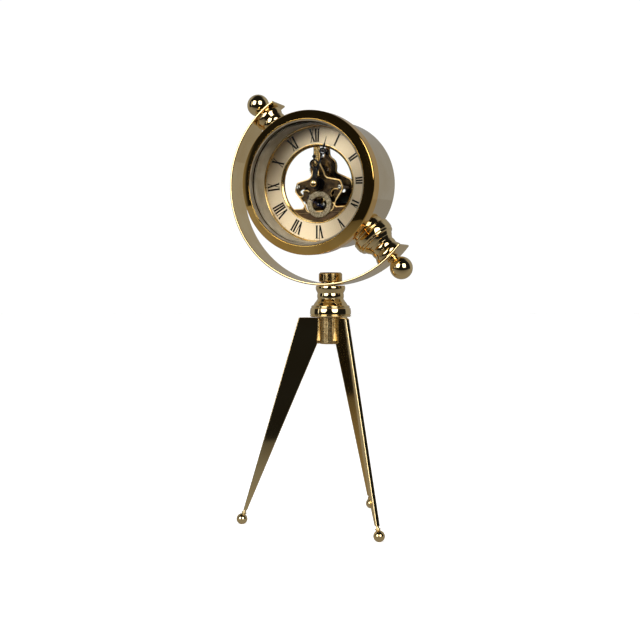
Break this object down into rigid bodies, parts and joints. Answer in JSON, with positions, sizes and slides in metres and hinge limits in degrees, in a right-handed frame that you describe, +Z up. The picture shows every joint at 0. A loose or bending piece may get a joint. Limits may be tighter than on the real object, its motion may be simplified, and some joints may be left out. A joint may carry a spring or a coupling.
{
  "type": "skeleton table clock",
  "caption": "Gold skeleton desk clock: a round drum tilts on turned spindles inside a C-shaped arm above a splayed tripod.",
  "frame": {"origin": "on the floor, on the column's axis, midway between the three feet", "axes": "+Z up the column; the arm stands in the XZ plane and the dial looks along -Y"},
  "size_m": [0.1398, 0.1141, 0.3219],
  "materials": {
    "gold_plate": "polished gold plate on brass",
    "movement_brass": "satin dark brass",
    "steel": "bright steel",
    "mineral_glass": "flat polished glass",
    "rubber_seal": "black rubber",
    "grey_liner": "satin grey lacquer",
    "dial_champagne": "brushed champagne",
    "dark_moulding": "dark bronze moulding",
    "cell_jacket": "plain cell sleeve",
    "board_laminate": "green board",
    "coil_wire": "enamelled copper winding",
    "black_hand": "gloss black lacquer",
    "blued_steel": "heat-blued steel"
  },
  "bodies": {
    "stand": {"leg_left": "gold_plate", "leg_front": "gold_plate", "leg_rear": "gold_plate", "foot_left": "gold_plate", "foot_front": "gold_plate", "foot_rear": "gold_plate", "hub": "gold_plate", "hub_nut_and_washer": "steel", "clamp_stud": "steel", "column": "gold_plate"},
    "arm": {"arm": "gold_plate", "pivot_seat_upper": "gold_plate", "pivot_seat_lower": "gold_plate", "clamp_washer": "gold_plate"},
    "knob": {"clamp_knob": "gold_plate"},
    "drum": {"drum_case": "gold_plate", "boss_upper": "gold_plate", "boss_lower": "gold_plate", "spindle_upper": "gold_plate", "spindle_lower": "gold_plate", "tie_rod_upper": "steel", "tie_rod_lower": "steel", "finial_upper": "gold_plate", "finial_lower": "gold_plate", "rear_glass": "mineral_glass", "rear_glass_ring": "gold_plate", "mouth_gasket": "rubber_seal"},
    "insert": {"bezel": "gold_plate", "front_glass": "mineral_glass", "carrier_ring": "movement_brass", "rehaut": "grey_liner", "dial_rim": "gold_plate", "chapter_ring": "dial_champagne", "inner_ring": "gold_plate", "front_plate": "movement_brass", "rear_plate": "movement_brass", "movement_pillars": "movement_brass", "movement_screws": "steel", "top_bridge": "movement_brass", "seconds_ring": "dial_champagne", "battery_box": "dark_moulding", "battery": "cell_jacket", "battery_contacts": "steel", "circuit_board": "board_laminate", "drive_coil": "coil_wire", "drive_core": "steel", "centre_bush": "dark_moulding"},
    "minute": {"centre_wheel": "movement_brass", "minute_arbor": "steel", "minute_hand": "black_hand", "hand_cap": "gold_plate", "set_knob": "dark_moulding"},
    "third": {"third_arbor": "steel", "third_wheel": "movement_brass"},
    "seconds": {"seconds_arbor": "steel", "seconds_hand": "blued_steel"},
    "motion": {"motion_arbor": "steel", "minute_wheel": "movement_brass"},
    "hour": {"hour_wheel": "movement_brass", "hour_hand": "black_hand"}
  },
  "joints": [
    {"name": "arm_swivel", "type": "hinge", "parent": "stand", "child": "arm", "pos_m": [0, 0, 0.1535], "axis": [0, 0, 1], "continuous": true},
    {"name": "knob_turn", "type": "hinge", "parent": "stand", "child": "knob", "pos_m": [0, 0, 0.1767], "axis": [0, 0, 1], "range_deg": [0, 90]},
    {"name": "drum_tilt", "type": "hinge", "parent": "arm", "child": "drum", "pos_m": [-0.002, 0, 0.2515], "axis": [0.6743, 0, -0.7385], "continuous": true},
    {"name": "insert_pull", "type": "slide", "parent": "drum", "child": "insert", "axis": [-0.0515, -0.9976, -0.047], "range_m": [0, 0.045]},
    {"name": "minute_turn", "type": "hinge", "parent": "insert", "child": "minute", "pos_m": [-0.002, 0, 0.2515], "axis": [-0.0515, -0.9976, -0.047], "continuous": true},
    {"name": "third_turn", "type": "hinge", "parent": "insert", "child": "third", "pos_m": [-0.00904, 0.00075, 0.24335], "axis": [-0.0515, -0.9976, -0.047], "continuous": true},
    {"name": "seconds_turn", "type": "hinge", "parent": "insert", "child": "seconds", "pos_m": [-0.00146, 0.00068, 0.23653], "axis": [-0.0515, -0.9976, -0.047], "continuous": true},
    {"name": "motion_turn", "type": "hinge", "parent": "insert", "child": "motion", "pos_m": [-0.00242, -0.00052, 0.263], "axis": [-0.0515, -0.9976, -0.047], "continuous": true},
    {"name": "hour_turn", "type": "hinge", "parent": "insert", "child": "hour", "pos_m": [-0.002, 0, 0.2515], "axis": [-0.0515, -0.9976, -0.047], "continuous": true}
  ],
  "couplings": [
    {"joint": "third_turn", "follows": "minute_turn", "ratio": -8},
    {"joint": "seconds_turn", "follows": "minute_turn", "ratio": 60},
    {"joint": "motion_turn", "follows": "minute_turn", "ratio": -0.33333},
    {"joint": "hour_turn", "follows": "minute_turn", "ratio": 0.083333}
  ]
}
